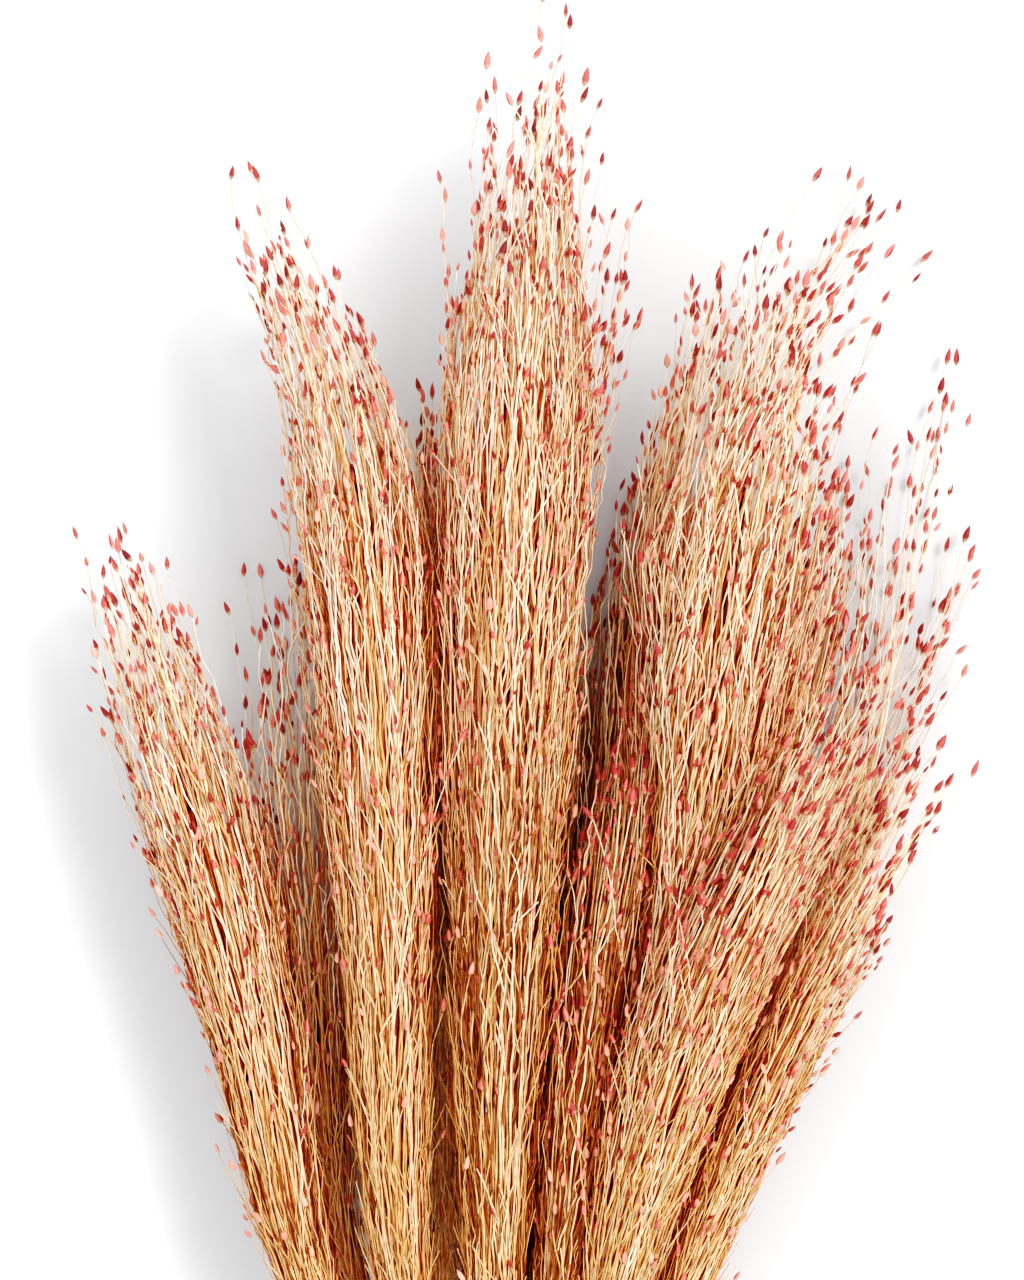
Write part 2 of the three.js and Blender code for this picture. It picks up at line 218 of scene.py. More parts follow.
def room(stem, y, angle, wish):
    """Distance that a point may lie from the centre line in the direction of the angle: the wish,
    or less where the table or the border with another stem is nearer. That border lies at
    (apart·mine/(mine + theirs) + past)/cos, with the cosine between the two directions."""
    home = centre_line(stem, y)
    dx, dz = np.cos(angle), np.sin(angle)
    mine = brush_radius(stem, y)
    high = smooth_step(MINGLE_FROM, MINGLE_TO, along_head(stem, y))
    past = (GAP_LOW + MINGLE_HIGH) * high - GAP_LOW
    to_table = (home[..., 2] - LEAST_ROOM) / np.maximum(-dz, LEAST_DOWN)
    reach = np.where(dz < -LEAST_DOWN, np.minimum(wish, to_table), wish)
    for other in STEMS:
        if other is stem:
            continue
        tip = other["tip_y"]
        away = centre_line(other, np.minimum(y, tip)) - home
        ax, az = away[..., 0], away[..., 2]
        apart = np.hypot(ax, az)
        theirs = brush_radius(other, y) * (1 - smooth_step(tip + SHRINK_FROM, tip + SHRINK_TO, y))
        border = apart * mine / (mine + theirs) + past
        toward = (dx * ax + dz * az) / apart
        pressed = np.maximum(border, LEAST_ROOM) / np.maximum(toward, LEAST_TOWARD)
        pressed = np.minimum(reach, pressed)
        beside = 1 - smooth_step(tip, tip + BORDER_END, y)
        reach = np.where(toward > LEAST_TOWARD, reach + (pressed - reach) * beside, reach)
    return reach


# %% [markdown]
# ## From arrays to meshes
#
# A mesh is a list of points and a list of faces that name them. For thousands of branches both
# are worked out as whole numpy arrays and copied into Blender in one go, which takes a second
# where a Python loop would take minutes. The solids were moved so that the origin lies under the
# middle of the bunch, and the same move is read off the twine's box here.

# %% Helpers that put arrays into meshes
tie_low, tie_high = (np.array(corner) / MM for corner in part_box("twine_tie"))
SHIFT = np.array([(tie_low[0] + tie_high[0]) / 2 - TIE_X, tie_low[1] - (TIE_Y - TIE_HALF_WIDTH), 0.0])
print("move into the frame, mm:", np.round(SHIFT, 2).tolist())


MESHES = []


def put(name, data):
    """An object in the scene with the given data."""
    thing = bpy.data.objects.new(name, data)
    SCENE.collection.objects.link(thing)
    return thing


def unit(vectors):
    """Each vector divided by its length."""
    return vectors / np.linalg.norm(vectors, axis=-1, keepdims=True)


def ring_angles(sides, start=0.0):
    """Angles 2π(k+start)/sides evenly round a ring."""
    return 2 * np.pi * (np.arange(sides) + start) / sides


def keep_above_table(points, gap):
    """Lifts the points that lie lower than the gap over the table."""
    points[..., 2] = np.maximum(points[..., 2], gap)


def make_piece(name, node, slot, material, points, quads, triangles, **attributes):
    """A mesh object at the origin from points in millimetres, quads and triangles. Each further
    array is written on the points, as numbers or as vectors from rows of three. The piece rides
    on the bunch's only body and stands for the solid of the node."""
    corners = np.concatenate([quads.ravel(), triangles.ravel()])
    sizes = np.concatenate([np.full(len(quads), 4), np.full(len(triangles), 3)])
    mesh = bpy.data.meshes.new(name)
    mesh.vertices.add(len(points))
    mesh.vertices.foreach_set("co", ((points + SHIFT) * MM).astype(np.float32).ravel())
    mesh.loops.add(len(corners))
    mesh.loops.foreach_set("vertex_index", corners.astype(np.int32))
    mesh.polygons.add(len(sizes))
    mesh.polygons.foreach_set("loop_start", (np.cumsum(sizes) - sizes).astype(np.int32))
    mesh.update(calc_edges=True)
    mesh.validate()
    mesh.shade_smooth()
    for key, values in attributes.items():
        kind, field = ("FLOAT_VECTOR", "vector") if np.ndim(values) == 2 else ("FLOAT", "value")
        attribute = mesh.attributes.new(key, kind, "POINT")
        attribute.data.foreach_set(field, np.asarray(values, np.float32).ravel())
    mesh.materials.append(material)
    piece = put(name, mesh)
    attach(piece, ROOT)
    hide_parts(node)
    MESHES.append(mesh)


def tube_faces(count, steps, sides):
    """Faces of tubes whose points are numbered tube by tube, ring by ring and round each ring:
    quads between neighbouring rings, and a fan of triangles over the first and the last ring."""
    first = (np.arange(count) * steps * sides)[:, None, None]
    low = first + (np.arange(steps - 1) * sides)[:, None]
    k = np.arange(sides)
    after = (k + 1) % sides
    quads = np.stack([low + k, low + after, low + sides + after, low + sides + k], axis=-1)
    fan = np.arange(1, sides - 1)
    start = first + np.stack([0 * fan, fan + 1, fan], axis=-1)
    end = first + (steps - 1) * sides + np.stack([0 * fan, fan, fan + 1], axis=-1)
    return quads.reshape(-1, 4), np.concatenate([start.reshape(-1, 3), end.reshape(-1, 3)])


def tubes(paths, radii, sides, lift):
    """Closed tubes along many paths at once. Paths are (tube, step, xyz), radii (tube, step), and
    lift is a vector for each step that isn't parallel to the path. A ring's point k lies at
    centre + radius·(cos(a)·across + sin(a)·up) with a = 2π(k+½)/sides, where up and across are
    square to the path, so a tube with three sides turns a flat one towards its lift. Returns
    points (tube, step, side, xyz), quads and the end caps."""
    along = unit(np.gradient(paths, axis=1))
    across = unit(lift - along * np.sum(lift * along, axis=-1, keepdims=True))
    up = np.cross(along, across)
    turn = ring_angles(sides, 0.5)
    ring = np.cos(turn)[:, None] * across[..., None, :] + np.sin(turn)[:, None] * up[..., None, :]
    points = paths[..., None, :] + radii[..., None, None] * ring
    return points, *tube_faces(*paths.shape[:2], sides)


# %% [markdown]
# ## The camera
#
# The bunch is seen square on from above, so the camera looks straight down with the top of its
# picture towards the tips. A long lens far away keeps the heads that lie higher from looking
# larger. Its picture shows 256 mm by 320 mm at the height of the upper heads.

# %% Camera over the heads
VIEW_HEIGHT_MM = 320.0
VIEW_MIDDLE = (0.0, 141.0)
HEADS_Z = 30.0
LENS = 100.0
SENSOR = 36.0

camera_data = bpy.data.cameras.new("camera")
camera_data.lens = LENS
camera_data.sensor_width = SENSOR
camera = put("camera", camera_data)
camera_up = VIEW_HEIGHT_MM * LENS / SENSOR + HEADS_Z
camera.location = (np.array([*VIEW_MIDDLE, camera_up]) + SHIFT) * MM
SCENE.camera = camera
print("camera at", [round(c, 3) for c in camera.location])

# %% [markdown]
# ## Light and floor
#
# One soft lamp stands high on the right and a little towards the tips, so shadows fall to the
# left and stay soft at their edges. The rest of the light comes evenly from all sides, as in a
# white studio. A sun lamp with a wide angle gives the same soft edge over the whole bunch. Pale
# straw passes light on from one branch to the next, so more bounces than usual are followed.

# %% Lamp, surrounding light and floor
LAMP_ELEVATION = np.radians(51)
LAMP_AZIMUTH = np.radians(33)
LAMP_WIDTH = np.radians(20)
LAMP_STRENGTH, STUDIO_STRENGTH = 2.95, 1.74
BOUNCES = 8
FLOOR_REACH = 3.0

lamp_data = bpy.data.lights.new("soft_lamp", "SUN")
lamp_data.energy = LAMP_STRENGTH
lamp_data.angle = LAMP_WIDTH
lamp_data.color = (1.0, 0.98, 0.95)
lamp = put("soft_lamp", lamp_data)
lamp.rotation_euler = (0, np.pi / 2 - LAMP_ELEVATION, LAMP_AZIMUTH)

world = bpy.data.worlds.new("studio")
SCENE.world = world
world.use_nodes = True
background = world.node_tree.nodes["Background"].inputs
background["Color"].default_value = (0.98, 0.99, 1.0, 1)
background["Strength"].default_value = STUDIO_STRENGTH
SCENE.cycles.diffuse_bounces = BOUNCES

floor_mesh = bpy.data.meshes.new("floor")
corners = np.array([(-1, -1, 0), (1, -1, 0), (1, 1, 0), (-1, 1, 0)]) * FLOOR_REACH
floor_mesh.from_pydata(corners.tolist(), [], [(0, 1, 2, 3)])
floor = put("floor", floor_mesh)

# %% [markdown]
# ## The contrast of a photograph
#
# A camera doesn't show light as it is: its picture has a curve that deepens the darks, lifts the
# middle and softens the brightest part. It works on red, green and blue alone, so a dim orange
# turns into a deep rust. Blender has such a curve before its display transform.

# %% Contrast curve
SHOWN_FOR_LIGHT = [
    (0.02, 0.01), (0.05, 0.045), (0.1, 0.135), (0.2, 0.3), (0.35, 0.49), (0.6, 0.7), (0.85, 0.86)
]

view = SCENE.view_settings
view.view_transform = "Standard"
view.use_curve_mapping = True
all_channels = view.curve_mapping.curves[3]
for light, shown in SHOWN_FOR_LIGHT:
    all_channels.points.new(light, shown)
view.curve_mapping.update()


# %% [markdown]
# ## Materials
#
# A material starts from what the real stuff is. One function turns the hex colours that a
# picture program shows into the linear values that Blender works with, and one adds a node with
# its settings and links, so a material reads as a short recipe.

# %% Helpers for materials
def colour(code):
    """sRGB hex to linear RGBA: c/12.92 below 0.04045, ((c+0.055)/1.055)^2.4 above."""
    c = np.array([int(code[i : i + 2], 16) for i in (1, 3, 5)]) / 255
    return (*np.where(c <= 0.04045, c / 12.92, ((c + 0.055) / 1.055) ** 2.4).tolist(), 1.0)


def add(material, kind, inputs, stops=(), **settings):
    """One shader node. Kind is its type without the word ShaderNode, inputs are values or sockets
    to link, stops are (place, hex colour) pairs of a colour ramp, which is made with two, and
    settings are properties of the node."""
    node = material.node_tree.nodes.new("ShaderNode" + kind)
    for key, value in settings.items():
        setattr(node, key, value)
    for number, (place, code) in enumerate(stops):
        ramp = node.color_ramp.elements
        stop = ramp[number] if number < 2 else ramp.new(place)
        stop.position, stop.color = place, colour(code)
    for key, value in inputs.items():
        if isinstance(value, bpy.types.NodeSocket):
            material.node_tree.links.new(value, node.inputs[key])
        else:
            node.inputs[key].default_value = value
    return node


def new_material(name):
    """An empty node material."""
    material = bpy.data.materials.new(name)
    material.use_nodes = True
    material.node_tree.nodes.clear()
    return material


# %% [markdown]
# ### Light that is caught between the straws
#
# Light that reaches the depth of a brush has passed through and bounced between many thin straws,
# and each takes some of its blue and green, so the gaps glow a rusty red instead of grey. That
# would take dozens of bounces. The ambient occlusion node measures how enclosed a point is within
# two centimetres, and a colour ramp turns that into the colour that the light would have left.

# %% Painted shade and bounced light: rusty tint in the gaps
ENCLOSED_WITHIN_MM = 18.0
CAUGHT_LIGHT = [(0.03, "#E64810"), (0.16, "#FF9A44"), (0.33, "#FFDEAA"), (0.55, "#FFFFFF")]


def paint_shade_and_bounce(material, base_colour, amount=1.0):
    """Base colour multiplied by a rusty ramp where little open space lies around the point: painted
    shade and bounced light.
    """
    reach = {"Distance": ENCLOSED_WITHIN_MM * MM}
    open_space = add(material, "AmbientOcclusion", reach, samples=4)
    caught = add(material, "ValToRGB", {0: open_space.outputs["AO"]}, CAUGHT_LIGHT)
    colours = {0: amount, 6: base_colour, 7: caught.outputs[0]}
    return add(material, "Mix", colours, data_type="RGBA", blend_type="MULTIPLY").outputs[2]


# %% [markdown]
# ### Dried straw
#
# The branches are split and dried grass: a waxy, slightly glossy skin over pale fibre. Outside
# they are a bleached cream. Deep in the brush and on its underside they are painted a warm orange
# as shade and light bounced between straws, and near the crown they are painted paler as lit from
# behind. Some are painted brown as shade, on the heads painted as shaded. Three attributes carry
# that: tone is a random number for each branch, depth is 0 inside the brush and 1 outside, and
# shade is near 1 on the branches painted brown as shade.

# %% Straw of the branches
# One blotch every 2.4 mm: the straw's own mottling, with painted highlights and painted shade
# along each branch.
BLOTCHES_PER_METRE = 420.0
BLEACHED = [(0.0, "#BC803E"), (0.3, "#D6AC76"), (0.65, "#E5CFAC"), (1.0, "#F4EAD9")]
# Deep and downward-facing branches, painted warm orange as shade and bounced light.
INSIDE_SHADE = [(0.0, "#C84C12"), (1.0, "#F0AC60")]
# Branches painted brown as shade.
SHADED = [(0.0, "#5C1804"), (1.0, "#A0541C")]

straw = new_material("dried_straw_branches")
tone, depth, shade = (
    add(straw, "Attribute", {}, attribute_name=name).outputs["Fac"]
    for name in ("tone", "depth", "shade")
)
bleached, inside, shaded = (
    add(straw, "ValToRGB", {0: tone}, stops).outputs[0] for stops in (BLEACHED, INSIDE_SHADE, SHADED)
)
by_depth = add(straw, "Mix", {0: depth, 6: inside, 7: bleached}, data_type="RGBA")
in_shade = {0: shade, 6: by_depth.outputs[2], 7: shaded}
by_shade = add(straw, "Mix", in_shade, data_type="RGBA").outputs[2]
place = add(straw, "TexCoord", {}).outputs["Object"]
pattern = {"Vector": place, "Scale": BLOTCHES_PER_METRE, "Detail": 3.0}
blotches_and_glints = add(straw, "TexNoise", pattern).outputs[0]
strength = add(straw, "MapRange", {0: blotches_and_glints, 1: 0.32, 2: 0.68, 3: 0.68, 4: 1.16}).outputs[0]
mottled_and_glinting = add(straw, "VectorMath", {0: by_shade, "Scale": strength}, operation="SCALE")
straw_look = {
    "Base Color": paint_shade_and_bounce(straw, mottled_and_glinting.outputs[0]),
    "Roughness": 0.6,
    "Specular IOR Level": 0.02,
}

# %% [markdown]
# ### Rose-red spikelets
#
# A dried spikelet is a closed husk of two papery scales, a matt rose red. One side of each husk is
# painted a lighter pink as a highlight and the other a deeper crimson as shade, turned at random.
# Side tells the two apart, along fades the foot of the husk to straw, and tone gives every spikelet
# its own ripeness.

# %% Husk of the spikelets
# The lighter ramp paints a highlight on one side of each husk, and the darker one paints shade on the
# other.
PAINTED_SHADE_SIDE = [(0.0, "#560E0E"), (0.3, "#7E1C1A"), (0.6, "#9C3832"), (0.85, "#B05E50"), (1.0, "#BC7860")]
PAINTED_LIGHT_SIDE = [(0.0, "#882420"), (0.3, "#B0463F"), (0.6, "#C46258"), (0.85, "#D07E6C"), (1.0, "#DE9C84")]
STRAW_FOOT = colour("#F0C69A")

husk = new_material("dried_spikelet_husk")
ripe, side, husk_along = (
    add(husk, "Attribute", {}, attribute_name=name).outputs["Fac"] for name in ("tone", "side", "along")
)
back, front = (add(husk, "ValToRGB", {0: ripe}, stops).outputs[0] for stops in (PAINTED_SHADE_SIDE, PAINTED_LIGHT_SIDE))
edge = add(husk, "MapRange", {0: side, 1: -0.15, 2: 0.25}).outputs[0]
scales = add(husk, "Mix", {0: edge, 6: back, 7: front}, data_type="RGBA").outputs[2]
foot = add(husk, "MapRange", {0: husk_along, 1: 0.0, 2: 0.3, 3: 0.5, 4: 0.0}).outputs[0]
faded = add(husk, "Mix", {0: foot, 6: scales, 7: STRAW_FOOT}, data_type="RGBA").outputs[2]
husk_look = {
    "Base Color": paint_shade_and_bounce(husk, faded, 0.7),
    "Roughness": 0.55,
    "Specular IOR Level": 0.2,
}

# %% [markdown]
# ### Stem and packed middle
#
# The stem below the head is a bare culm with fine grooves. Inside the head it disappears between
# the branches, where hardly any light reaches: there the same piece is painted a warm rust brown
# as shade. Noise that is stretched twenty times along the stem draws both the grooves and the
# packed branches.

# %% Culm and packed middle
# One groove every 0.6 mm.
GROOVES_PER_METRE = 1700.0
BARE = [(0.3, "#7C5428"), (0.5, "#A88048"), (0.72, "#CCAC76")]
# The packed middle is painted a dark rust brown as shade.
PACKED_SHADE = [(0.38, "#2C0C00"), (0.48, "#6E2608"), (0.56, "#B06628"), (0.66, "#D49050")]

culm = new_material("dried_culm_straw")
in_head = add(culm, "Attribute", {}, attribute_name="in_head").outputs["Fac"]
stretched = add(culm, "Attribute", {}, attribute_name="stretched").outputs["Vector"]
pattern = {"Vector": stretched, "Scale": GROOVES_PER_METRE, "Detail": 2.0, "Distortion": 0.4}
stripes = add(culm, "TexNoise", pattern).outputs[0]
bare, packed = (add(culm, "ValToRGB", {0: stripes}, stops).outputs[0] for stops in (BARE, PACKED_SHADE))
culm_mix = add(culm, "Mix", {0: in_head, 6: bare, 7: packed}, data_type="RGBA").outputs[2]
grooves = add(culm, "Bump", {"Height": stripes, "Strength": 0.5, "Distance": 0.4 * MM})
culm_look = {
    "Base Color": paint_shade_and_bounce(culm, culm_mix),
    "Roughness": 0.6,
    "Specular IOR Level": 0.03,
    "Normal": grooves.outputs[0],
}

# %% [markdown]
# ### Jute twine and the floor
#
# Jute is a coarse matt fibre that is spun and then plied, so its colour changes from fibre to
# fibre. The fibres are about 0.05 mm, too fine to show, so the mottling is drawn at a quarter of
# a millimetre. The floor is a plain painted board. Every material ends in the same way: its look
# goes into a principled surface, which is wired to the material's output.

# %% Jute, floor and the surfaces of all materials
FIBRES_PER_METRE = 4200.0
SPUN = [(0.3, "#694A24"), (0.5, "#94713F"), (0.72, "#B8965F")]

jute = new_material("jute_twine")
place = add(jute, "TexCoord", {}).outputs["Object"]
pattern = {"Vector": place, "Scale": FIBRES_PER_METRE, "Detail": 3.0}
fibres = add(jute, "TexNoise", pattern).outputs[0]
spun = add(jute, "ValToRGB", {0: fibres}, SPUN).outputs[0]
rough = add(jute, "Bump", {"Height": fibres, "Strength": 0.5, "Distance": 0.2 * MM}).outputs[0]
jute_look = {"Base Color": spun, "Roughness": 0.9, "Normal": rough}

board = new_material("white_board")
floor.data.materials.append(board)
board_look = {"Base Color": colour("#B8B9BA"), "Roughness": 0.9}

made = (straw, husk, culm, jute, board)
for material, look in zip(made, (straw_look, husk_look, culm_look, jute_look, board_look)):
    surface = add(material, "BsdfPrincipled", look)
    add(material, "OutputMaterial", {"Surface": surface.outputs[0]})
print("materials:", [material.name for material in made])


# %% [markdown]
# ## The branches
#
# Every branch leaves the stem low down, swings out within its first third and then runs along
# the outside of the brush to its spikelet. They are 0.3 to 0.7 mm thick and crinkled
# from drying, so each point of a path is moved by a small random step. They end all the way up
# the head, and the highest of them draw its crown, which peaks on one side and drops to both.

# %% Sizes of the branches
BRANCHES = 6700
# Of each group: its share of the branches, steps along each, crinkle in mm, and how many fork.
OUTER = {"share": 0.48, "steps": 22, "crinkle": 0.42, "forks": 0.95}
INNER = {"share": 0.52, "steps": 8, "crinkle": 0.5, "forks": 0.2}
BRANCH_SIDES = 3
BRANCH_RADII = (0.34, 0.16)
SHORTEST, LONGEST = 55.0, 165.0
LOWEST_TIP = 0.13
ROOT_ZONE = 40.0
MIDDLE_SHARE = 0.62
SWAY = 1.0
TABLE_GAP = 0.4
TUFT = 3.5
TUFT_WAVES = (7, 5)

# %% How many branches and how high
areas = np.array([stem["full"] * stem["girth"] * (stem["tip_y"] - BASE_Y) for stem in STEMS])
branch_counts = np.round(BRANCHES * areas / areas.sum()).astype(int)
print("branches of each head:", branch_counts.tolist())


def crown_y(stem, side, front):
    """Height of the crown over a place in the head's section, each way from -1 to 1: the tip's
    height less drop·distance^1.5 from the peak sideways and a quarter of the mean drop·front²,
    and less TUFT·(1+wave) with a wave over the section, which parts the crown into tufts."""
    left, right = stem["left_drop"], stem["right_drop"]
    drop = left * np.maximum(stem["peak"] - side, 0) ** 1.5
    drop = drop + right * np.maximum(side - stem["peak"], 0) ** 1.5
    across, deep = TUFT_WAVES
    wave = np.sin(across * side + 2 * stem["index"]) * np.cos(deep * front + stem["index"])
    return stem["tip_y"] - drop - (left + right) / 8 * front**2 - TUFT * (1 + wave)


def spread_angles(stem, count, rng):
    """Angles round the head. A direction gets branches in proportion to the room there at 0.62 of
    the head, times 1 + 0.3·sin(angle), which puts a little more on top than on the table."""
    turn = np.linspace(-np.pi, np.pi, 181)
    y = np.full(turn.shape, height_at(stem, 0.62))
    weight = room(stem, y, turn, brush_radius(stem, y)) * (1 + 0.3 * np.sin(turn))
    share = np.cumsum(weight) / weight.sum()
    return np.interp(rng.random(count), share, turn)


# %% Branch paths
def run_paths(stem, low, high, angle, out):
    """Paths from height low to high: centre line + room·out at an angle, where the angle and out
    are arrays (branch, step). Returns the paths and their outward directions."""
    s = np.linspace(0, 1, angle.shape[1])
    y = low[:, None] + (high - low)[:, None] * s
    reach = room(stem, y, angle, brush_radius(stem, y))
    radial = np.stack([np.cos(angle), 0 * angle, np.sin(angle)], axis=-1)
    return centre_line(stem, y) + radial * (reach * out)[..., None], radial


def crinkled(paths, rng, crinkle, sway):
    """Moves each point by a random step and each path by one slow wave of 0.8 to 1.8 periods,
    both growing from zero at the root, and keeps all of it above the table. Paths that start low
    on the stem sway less."""
    count, steps = paths.shape[:2]
    s = np.linspace(0, 1, steps)
    grow = np.minimum(1, s * 3)[:, None]
    sway = sway * smooth_step(BASE_Y - 40, NECK_Y + 60, paths[:, :1, 1:2])
    wave = np.sin(2 * np.pi * (rng.uniform(0.8, 1.8, (count, 1)) * s + rng.random((count, 1))))
    paths = paths + rng.normal(0, crinkle, paths.shape) * [1, 0.3, 1] * grow
    swing = rng.normal(0, 1, (count, 1, 3)) * sway * [1, 0, 1]
    paths = paths + swing * (wave * grow[:, 0])[..., None]
    keep_above_table(paths, TABLE_GAP)
    return paths


def layers(group, count, rng):
    """Share of the room that each branch reaches, and whether it rises inside. Outer branches lie
    at 0.88 to 0.97, and a fifth of them stray out to 1.1. Inner ones lie at 0.62 to 0.88, and two
    fifths of them rise inside, anywhere below 0.9."""
    if group is OUTER:
        strays = rng.random(count) < 0.2
        layer = np.where(strays, rng.uniform(0.96, 1.1, count), rng.uniform(0.88, 0.97, count))
        return layer, np.zeros(count, bool)
    rising = rng.random(count) < 0.4
    anywhere = 0.9 * rng.random(count) ** 0.5
    return np.where(rising, anywhere, rng.uniform(MIDDLE_SHARE, 0.88, count)), rising


def branch_paths(stem, group, count, rng):
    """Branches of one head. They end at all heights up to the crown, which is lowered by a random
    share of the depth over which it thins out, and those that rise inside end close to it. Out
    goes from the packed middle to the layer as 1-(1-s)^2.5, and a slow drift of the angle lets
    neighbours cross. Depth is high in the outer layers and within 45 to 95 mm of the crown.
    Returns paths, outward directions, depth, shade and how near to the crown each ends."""
    steps = group["steps"]
    angle = spread_angles(stem, count, rng)
    layer, rising = layers(group, count, rng)
    crown = crown_y(stem, np.cos(angle) * layer, np.sin(angle) * layer)
    crown -= stem["thins"] * rng.uniform(0.2, 1.8, count)
    bottom = height_at(stem, LOWEST_TIP)
    rank = (np.arange(count) + rng.random(count)) / count
    rank = np.where(rising, 1 - 0.45 * rank, rank**0.7)
    high = bottom + (crown - bottom) * rank
    lowest = BASE_Y + rng.uniform(0, ROOT_ZONE, count)
    low = np.maximum(high - rng.uniform(SHORTEST, LONGEST, count), lowest)
    s = np.linspace(0, 1, steps)
    out = MIDDLE_SHARE + (layer[:, None] - MIDDLE_SHARE) * (1 - (1 - s) ** 2.5)
    angle = angle[:, None] + rng.normal(0, 0.45, (count, 1)) * (s - 0.7)
    paths, radial = run_paths(stem, low, high, angle, out)
    # Painted shade: on heads painted as shaded, this share of branches is painted brown.
    shaded = rng.random(count) < shade_at(stem, paths[:, steps // 2, 1])
    # Painted light and shade: branches within 45 to 95 mm of the crown are painted pale as lit, and
    # those on the underside of the brush a warmer orange as shaded.
    in_light = smooth_step(95, 45, crown[:, None] - paths[..., 1])
    lit_from_above = 0.4 + 0.6 * smooth_step(-0.4, 0.5, radial[..., 2])
    depth = np.maximum(smooth_step(0.6, 0.9, layer)[:, None] * lit_from_above, in_light)
    near_crown = (high - bottom) / (crown - bottom)
    paths = crinkled(paths, rng, group["crinkle"], SWAY)
    return paths, radial, depth, 0.9 * shaded, near_crown


def branch_tone(stem, paths, near_crown, rng):
    """Paleness of each branch: a random number, lower in heads painted as shaded and up to 130 mm
    above the neck, where a head is golden, and higher, as painted light, for branches that end near
    the crown."""
    middle_y = paths[:, paths.shape[1] // 2, 1]
    golden = smooth_step(NECK_Y + 130, NECK_Y, middle_y)
    tone = rng.beta(2.0, 2.0, len(paths)) * (1 - 0.25 * stem["shade"][1]) * (1 - 0.4 * golden)
    return tone + 0.2 * smooth_step(0.7, 1.0, near_crown)


# %% [markdown]
# ## Loose wisps and short side branches
#
# A few threads stand out of every crown. They are 0.2 to 0.4 mm thick, lean away from the head and
# carry several spikelets one after another. A few strays lie across the heads. In the brush
# itself short side branches fork off and carry one spikelet each.

# %% Wisps and forks
# Each spray: head, number of threads, side it leaves from, height against the tip, lean.
SPRAYS = [
    (5, 14, 0.95, -46, 14), (5, 9, 0.95, -74, 9), (5, 3, -0.95, -16, -11), (7, 20, -0.3, 0, 31),
    (8, 7, 0.1, -2, 0), (8, 7, 0.9, -34, 6), (8, 7, 0.9, -64, 6), (8, 7, -0.5, -54, 1),
]
WISP_STEPS = 26
STRAYS = 3
WISP_RADII = (0.18, 0.09)
WISP_LENGTHS, STRAY_LENGTHS, FORK_LENGTHS = (70, 120), (45, 95), (7, 16)
FORK_STEPS = 4
FORK_RADII = (0.2, 0.12)


# %% Paths of the loose threads and forks
def wisp_starts(stem, rng):
    """Side, height of the end and lean of each wisp. Wisps spread evenly over the width of the
    crown, end from 30 mm below it to 12 mm above and lean by right·random + outward·side. Those
    of a spray keep close to its side, height and lean."""
    count = stem["wisps"]
    side = (np.arange(count) + rng.random(count)) / count * 2 - 1
    high = crown_y(stem, side * 0.8, 0) + rng.uniform(-30, 12, count)
    outward, right = stem["lean"]
    lean = 2 * right * rng.random(count) + outward * side * rng.uniform(0.5, 1.5, count)
    starts = [(side, high, lean)]
    for head, threads, middle, top, push in SPRAYS:
        if head == stem["index"] + 1:
            sides = np.clip(middle + rng.normal(0, 0.16, threads), -1, 1)
            tops = stem["tip_y"] + top - rng.uniform(0, 34, threads)
            starts.append((sides, tops, push * rng.uniform(0.75, 1.15, threads)))
    side, high, lean = (np.concatenate(column) for column in zip(*starts))
    return side, np.minimum(high, stem["tip_y"] - 1), lean


def wisp_paths(stem, rng):
    """Paths of the wisps, which lean by lean·(s^1.8-0.2) and curl by curl·max(s-0.6, 0)²."""
    side, high, lean = wisp_starts(stem, rng)
    count = len(side)
    angle = np.arccos(side) * np.where(rng.random(count) < 0.7, 1, -1)
    low = high - rng.uniform(*WISP_LENGTHS, count)
    s = np.linspace(0, 1, WISP_STEPS)
    out = 0.7 + rng.uniform(0.1, 0.4, (count, 1)) * s
    paths, radial = run_paths(stem, low, high, angle[:, None] + 0 * s, out)
    lean = lean + rng.normal(0, 1.5, count)
    curl = rng.normal(0, 12, (count, 3)) * [1, 0.3, 0.6]
    paths = crinkled(paths, rng, 0.22, 1.0)
    paths[..., 0] += lean[:, None] * (s**1.8 - 0.2)
    paths += curl[:, None, :] * (np.maximum(s - 0.6, 0) ** 2)[:, None]
    keep_above_table(paths, TABLE_GAP)
    return paths, radial


def stray_paths(stem, rng):
    """Branches that worked loose and lie across the head's upper side: at 50 to 130 degrees round
    it, with a drift of drift·s^1.5 towards the middle of the bunch."""
    angle = rng.uniform(0.9, 2.2, STRAYS)
    low = height_at(stem, rng.uniform(0.12, 0.62, STRAYS))
    high = low + rng.uniform(*STRAY_LENGTHS, STRAYS)
    s = np.linspace(0, 1, WISP_STEPS)
    paths, radial = run_paths(stem, low, high, angle[:, None] + 0 * s, 0.95 + 0.17 * s)
    paths = crinkled(paths, rng, 0.2, 1.0)
    drift = -np.sign(paths[:, :1, 0]) * rng.uniform(6, 30, (STRAYS, 1))
    paths[..., 0] += drift * s**1.5
    return paths, radial


